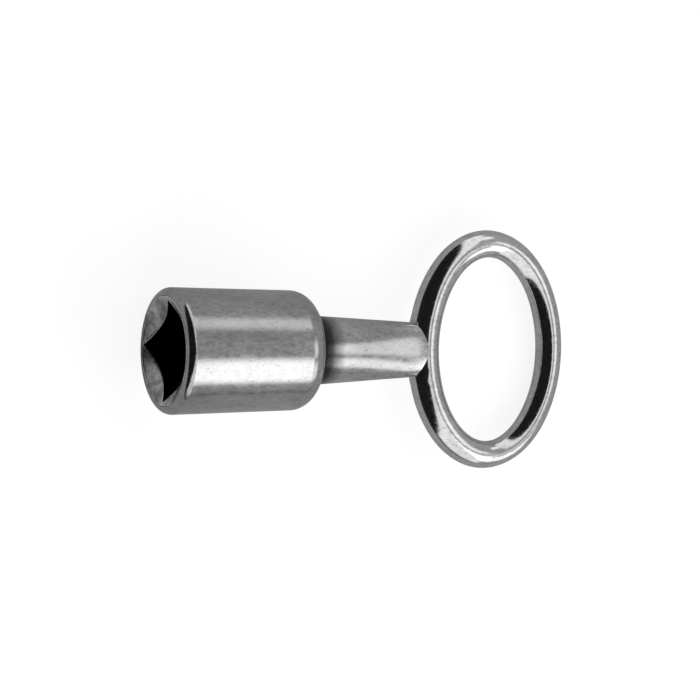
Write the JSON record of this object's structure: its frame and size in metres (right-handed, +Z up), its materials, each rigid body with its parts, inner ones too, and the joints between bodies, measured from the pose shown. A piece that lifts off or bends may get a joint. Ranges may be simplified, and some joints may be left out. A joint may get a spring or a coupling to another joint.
{
  "type": "radiator bleed key",
  "caption": "Plated radiator vent key with a countersunk square socket in a turned barrel, a tapered shank and an oval finger ring, lying at rest",
  "frame": {"origin": "On the surface the key lies on, at the middle of its footprint: x and y at the middle of the bounding box, z at its bottom", "axes": "+X from the socket's mouth towards the finger ring, +Y across the ring, +Z up from the surface. At rest the heel of the barrel and the far side of the ring touch the surface, so the tool's own axis leans down towards the ring by 9.1 degrees"},
  "size_m": [0.0318, 0.0172, 0.0101],
  "materials": {
    "barrel": "polished bright plating with faint pits",
    "socket": "broached socket, dull inside, plated rim",
    "shank": "polished bright plating",
    "ring": "polished bright plating, slightly wavy",
    "heel_braze": "plated over, slightly softer shine",
    "braze": "plated over, slightly softer shine"
  },
  "bodies": {
    "root": {"barrel_sleeve": "barrel", "socket_insert": "socket", "shank": "shank", "finger_ring": "ring", "heel_braze": "heel_braze", "saddle_braze": "braze"}
  },
  "joints": []
}
